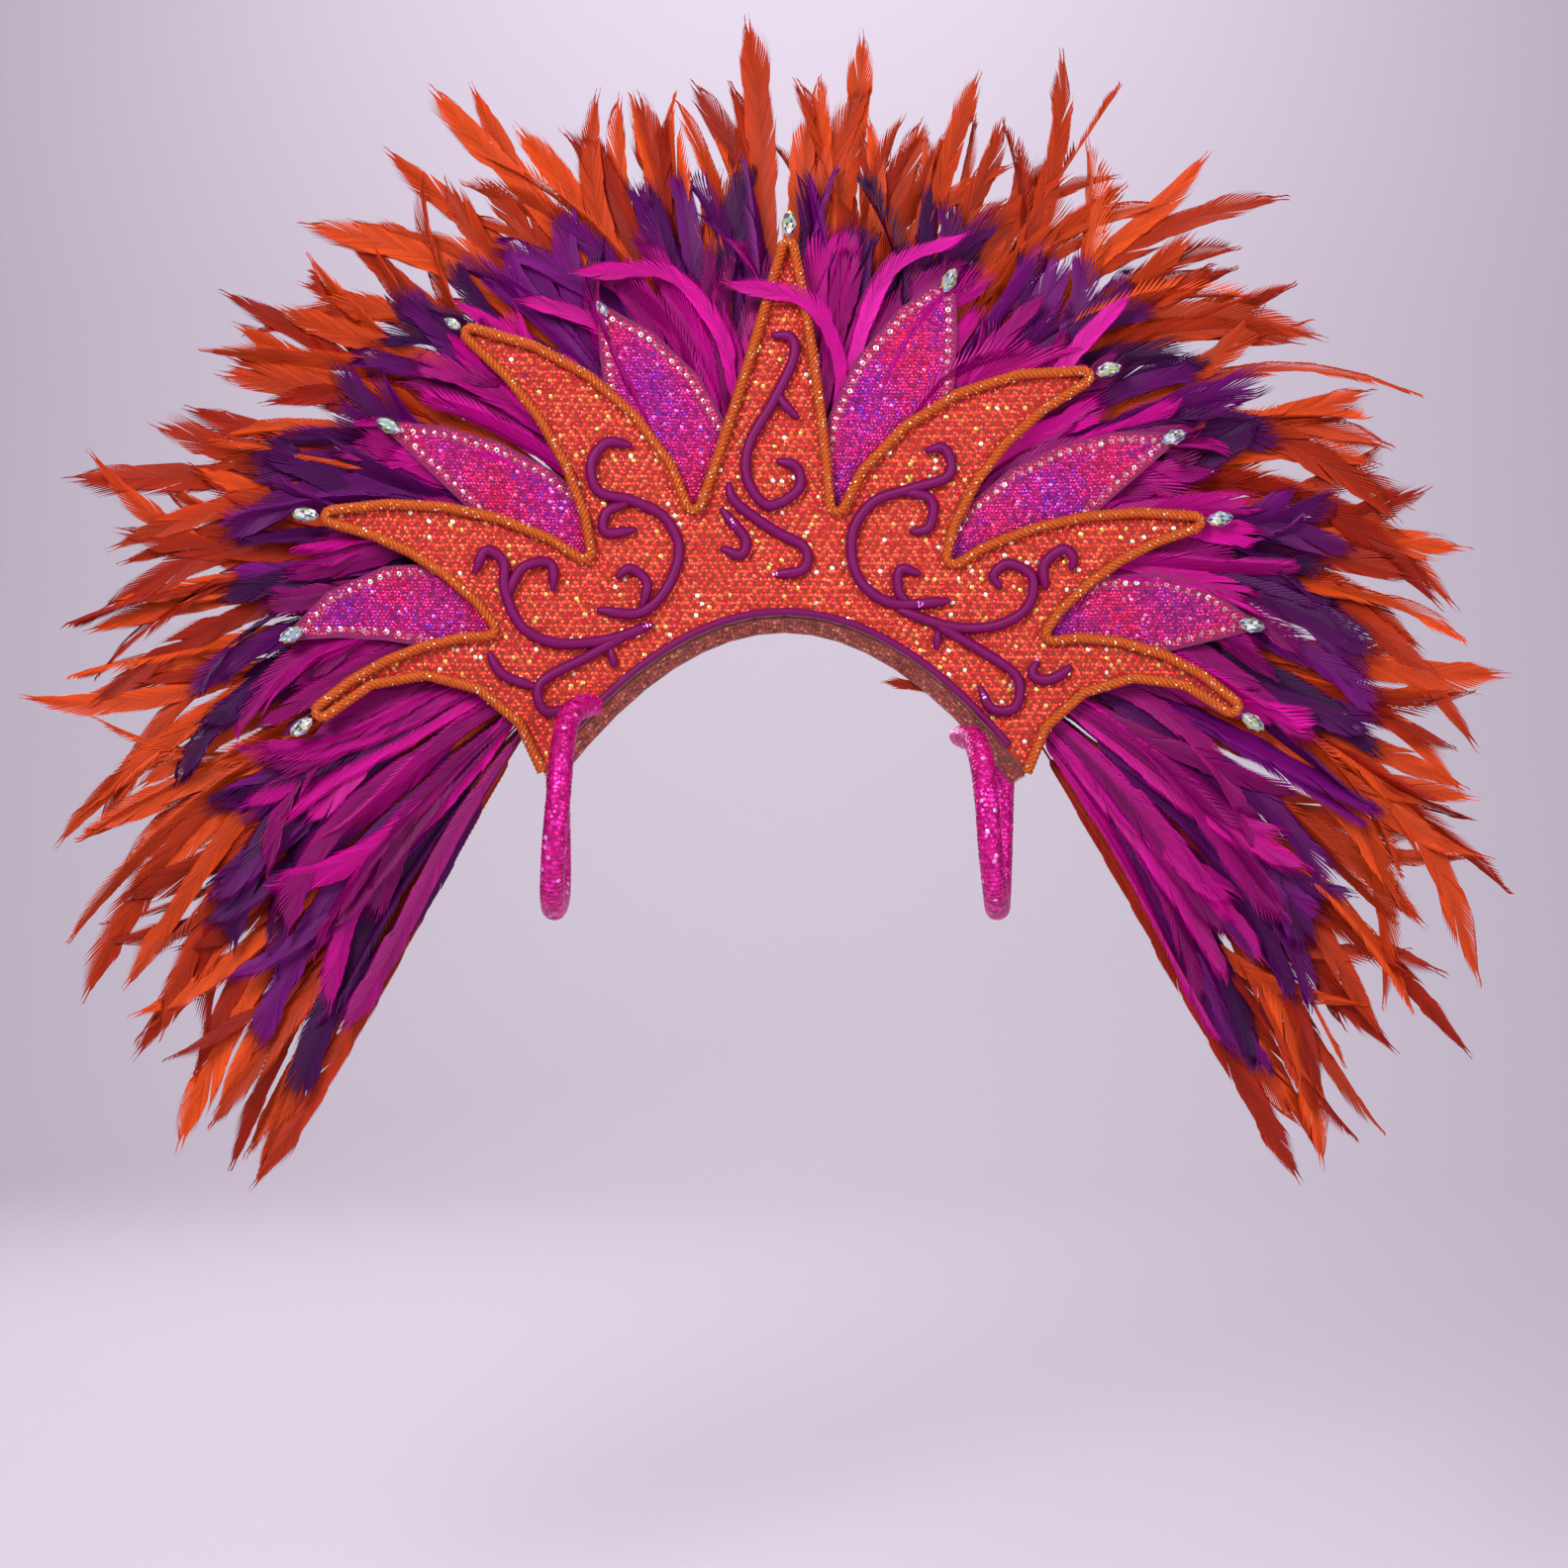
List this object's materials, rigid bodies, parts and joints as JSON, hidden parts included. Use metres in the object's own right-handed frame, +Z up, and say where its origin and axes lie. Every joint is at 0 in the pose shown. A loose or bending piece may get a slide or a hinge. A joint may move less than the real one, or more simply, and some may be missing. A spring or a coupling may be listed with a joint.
{
  "type": "feather shoulder collar",
  "caption": "Carnival collar worn on the shoulders: a sequined crown panel with petals, cord scrolls and tip stones, a feather fan in layers and a harness loop for each arm.",
  "frame": {"origin": "middle of the shoulder line, between the two harness tops", "axes": "+Z up, -Y out of the front, X across the shoulders"},
  "size_m": [1.4605, 0.2256, 1.17],
  "materials": {
    "panel_sequins": "sequined",
    "petal_sequins": "sequined",
    "copper_cord": "twisted gimp cord",
    "scroll_cord": "satin cord",
    "harness_sequins": "sequined",
    "binding_sequins": "sequined",
    "feather_magenta": "soft feather",
    "feather_purple": "soft feather",
    "feather_orange": "soft feather",
    "stone": "clear, faceted"
  },
  "bodies": {
    "root": {"collar_panel": "panel_sequins", "petal_left_high": "petal_sequins", "petal_left_middle": "petal_sequins", "petal_left_low": "petal_sequins", "petal_right_high": "petal_sequins", "petal_right_middle": "petal_sequins", "petal_right_low": "petal_sequins", "edge_cord": "copper_cord", "neck_piping": "scroll_cord", "neck_binding": "binding_sequins", "scroll_centre_high": "scroll_cord", "scroll_centre_middle": "scroll_cord", "scroll_centre_small": "scroll_cord", "scroll_left_high": "scroll_cord", "scroll_left_low": "scroll_cord", "scroll_right_high": "scroll_cord", "scroll_right_side": "scroll_cord", "scroll_right_hook": "scroll_cord", "crystal_spike": "stone", "crystal_left_high": "stone", "crystal_left_middle": "stone", "crystal_left_low": "stone", "crystal_right_high": "stone", "crystal_right_middle": "stone", "crystal_right_low": "stone", "crystal_petal_left_high": "stone", "crystal_petal_left_middle": "stone", "crystal_petal_left_low": "stone", "crystal_petal_right_high": "stone", "crystal_petal_right_middle": "stone", "crystal_petal_right_low": "stone", "harness_left": "harness_sequins", "harness_right": "harness_sequins", "feathers_magenta_1": "feather_magenta", "feathers_magenta_2": "feather_magenta", "feathers_magenta_3": "feather_magenta", "feathers_magenta_4": "feather_magenta", "feathers_magenta_5": "feather_magenta", "feathers_magenta_6": "feather_magenta", "feathers_purple_1": "feather_purple", "feathers_purple_2": "feather_purple", "feathers_purple_3": "feather_purple", "feathers_purple_4": "feather_purple", "feathers_purple_5": "feather_purple", "feathers_purple_6": "feather_purple", "feathers_orange_1": "feather_orange", "feathers_orange_2": "feather_orange", "feathers_orange_3": "feather_orange", "feathers_orange_4": "feather_orange", "feathers_orange_5": "feather_orange", "feathers_orange_6": "feather_orange"}
  },
  "joints": []
}
